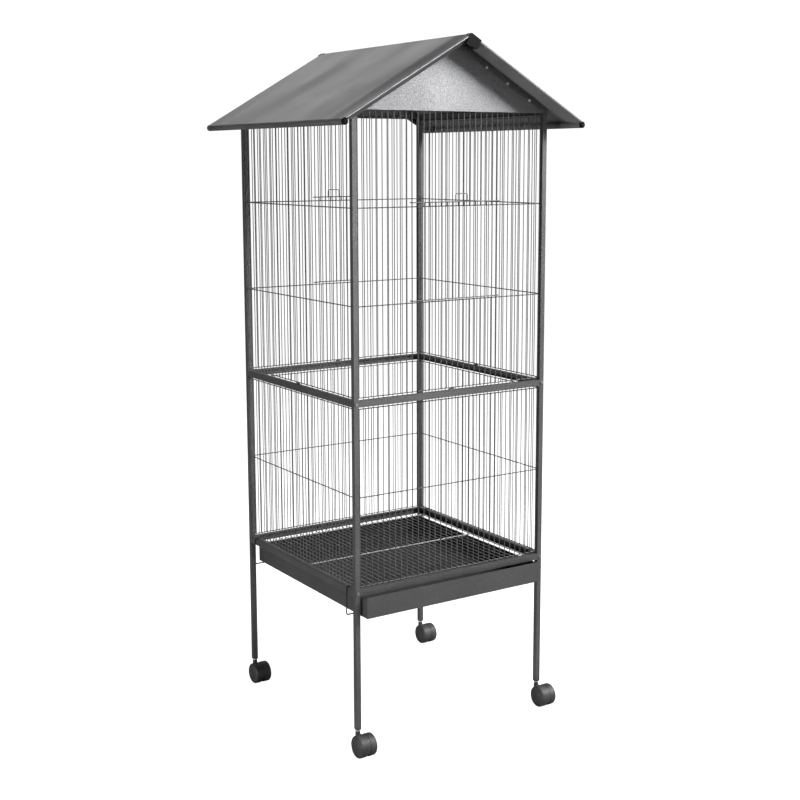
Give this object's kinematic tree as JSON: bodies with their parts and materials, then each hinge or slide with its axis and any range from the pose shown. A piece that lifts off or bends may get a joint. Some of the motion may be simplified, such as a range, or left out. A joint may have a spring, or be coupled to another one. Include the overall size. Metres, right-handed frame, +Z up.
{
  "type": "bird cage on stand",
  "caption": "Tall square wire bird cage with a gabled sheet roof, lift-up wire doors, pull-out tray and floor grate, on legs with swivel casters.",
  "frame": {"origin": "on the floor, under the centre of the cage", "axes": "+Z up; -Y towards the front gable, where the tray pulls out; +X to the right"},
  "size_m": [0.65, 0.66, 1.5999],
  "materials": {
    "frame_enamel": "anthracite hammered powder coat",
    "wire_enamel": "anthracite powder coat, satin",
    "roof_enamel": "anthracite powder coat, satin with fine hammer grain",
    "gable_enamel": "anthracite hammered powder coat",
    "tray_enamel": "anthracite powder coat, satin",
    "black_plastic": "moulded black nylon, satin",
    "zinc_steel": "zinc-plated steel"
  },
  "bodies": {
    "cage": {"post_front_left": "frame_enamel", "post_front_right": "frame_enamel", "post_rear_left": "frame_enamel", "post_rear_right": "frame_enamel", "leg_plugs": "black_plastic", "bottom_bar_front": "frame_enamel", "bottom_bar_right": "frame_enamel", "bottom_bar_rear": "frame_enamel", "bottom_bar_left": "frame_enamel", "middle_bar_front": "frame_enamel", "middle_bar_right": "frame_enamel", "middle_bar_rear": "frame_enamel", "middle_bar_left": "frame_enamel", "top_rail_right": "frame_enamel", "top_rail_left": "frame_enamel", "upper_panel_front": "wire_enamel", "upper_panel_right": "wire_enamel", "upper_panel_rear": "wire_enamel", "upper_panel_left": "wire_enamel", "lower_panel_front": "wire_enamel", "lower_panel_right": "wire_enamel", "lower_panel_rear": "wire_enamel", "lower_panel_left": "wire_enamel", "gable_front": "gable_enamel", "gable_rear": "gable_enamel", "roof_left": "roof_enamel", "roof_right": "roof_enamel", "roof_bracket_front_left": "frame_enamel", "roof_bracket_front_right": "frame_enamel", "roof_bracket_rear_left": "frame_enamel", "roof_bracket_rear_right": "frame_enamel", "ridge_caps": "black_plastic", "eave_caps": "black_plastic", "frame_bolts": "zinc_steel", "gable_rivets": "zinc_steel", "floor_grate": "wire_enamel", "tray_runner_front": "wire_enamel", "tray_runner_rear": "wire_enamel", "caster_stems": "zinc_steel"},
    "door_front": {"door_front": "wire_enamel"},
    "door_rear": {"door_rear": "wire_enamel"},
    "tray": {"tray": "tray_enamel"},
    "caster_front_left": {"caster_body_front_left": "black_plastic", "caster_axle_front_left": "zinc_steel"},
    "wheel_front_left_a": {"wheel_front_left_a": "black_plastic"},
    "wheel_front_left_b": {"wheel_front_left_b": "black_plastic"},
    "caster_front_right": {"caster_body_front_right": "black_plastic", "caster_axle_front_right": "zinc_steel"},
    "wheel_front_right_a": {"wheel_front_right_a": "black_plastic"},
    "wheel_front_right_b": {"wheel_front_right_b": "black_plastic"},
    "caster_rear_left": {"caster_body_rear_left": "black_plastic", "caster_axle_rear_left": "zinc_steel"},
    "wheel_rear_left_a": {"wheel_rear_left_a": "black_plastic"},
    "wheel_rear_left_b": {"wheel_rear_left_b": "black_plastic"},
    "caster_rear_right": {"caster_body_rear_right": "black_plastic", "caster_axle_rear_right": "zinc_steel"},
    "wheel_rear_right_a": {"wheel_rear_right_a": "black_plastic"},
    "wheel_rear_right_b": {"wheel_rear_right_b": "black_plastic"}
  },
  "joints": [
    {"name": "front_door_lift", "type": "slide", "parent": "cage", "child": "door_front", "axis": [0, 0, 1], "range_m": [0, 0.165]},
    {"name": "rear_door_lift", "type": "slide", "parent": "cage", "child": "door_rear", "axis": [0, 0, 1], "range_m": [0, 0.165]},
    {"name": "tray_pull", "type": "slide", "parent": "cage", "child": "tray", "axis": [0, -1, 0], "range_m": [0, 0.44]},
    {"name": "caster_swivel_front_left", "type": "hinge", "parent": "cage", "child": "caster_front_left", "pos_m": [-0.258, -0.258, 0.044], "axis": [0, 0, 1], "continuous": true},
    {"name": "caster_swivel_front_right", "type": "hinge", "parent": "cage", "child": "caster_front_right", "pos_m": [0.258, -0.258, 0.044], "axis": [0, 0, 1], "continuous": true},
    {"name": "caster_swivel_rear_left", "type": "hinge", "parent": "cage", "child": "caster_rear_left", "pos_m": [-0.258, 0.258, 0.044], "axis": [0, 0, 1], "continuous": true},
    {"name": "caster_swivel_rear_right", "type": "hinge", "parent": "cage", "child": "caster_rear_right", "pos_m": [0.258, 0.258, 0.044], "axis": [0, 0, 1], "continuous": true},
    {"name": "wheel_roll_front_left_a", "type": "hinge", "parent": "caster_front_left", "child": "wheel_front_left_a", "pos_m": [-0.2725, -0.286, 0.0255], "axis": [1, 0, 0], "continuous": true},
    {"name": "wheel_roll_front_left_b", "type": "hinge", "parent": "caster_front_left", "child": "wheel_front_left_b", "pos_m": [-0.2435, -0.286, 0.0255], "axis": [1, 0, 0], "continuous": true},
    {"name": "wheel_roll_front_right_a", "type": "hinge", "parent": "caster_front_right", "child": "wheel_front_right_a", "pos_m": [0.2435, -0.286, 0.0255], "axis": [1, 0, 0], "continuous": true},
    {"name": "wheel_roll_front_right_b", "type": "hinge", "parent": "caster_front_right", "child": "wheel_front_right_b", "pos_m": [0.2725, -0.286, 0.0255], "axis": [1, 0, 0], "continuous": true},
    {"name": "wheel_roll_rear_left_a", "type": "hinge", "parent": "caster_rear_left", "child": "wheel_rear_left_a", "pos_m": [-0.2725, 0.23, 0.0255], "axis": [1, 0, 0], "continuous": true},
    {"name": "wheel_roll_rear_left_b", "type": "hinge", "parent": "caster_rear_left", "child": "wheel_rear_left_b", "pos_m": [-0.2435, 0.23, 0.0255], "axis": [1, 0, 0], "continuous": true},
    {"name": "wheel_roll_rear_right_a", "type": "hinge", "parent": "caster_rear_right", "child": "wheel_rear_right_a", "pos_m": [0.2435, 0.23, 0.0255], "axis": [1, 0, 0], "continuous": true},
    {"name": "wheel_roll_rear_right_b", "type": "hinge", "parent": "caster_rear_right", "child": "wheel_rear_right_b", "pos_m": [0.2725, 0.23, 0.0255], "axis": [1, 0, 0], "continuous": true}
  ]
}
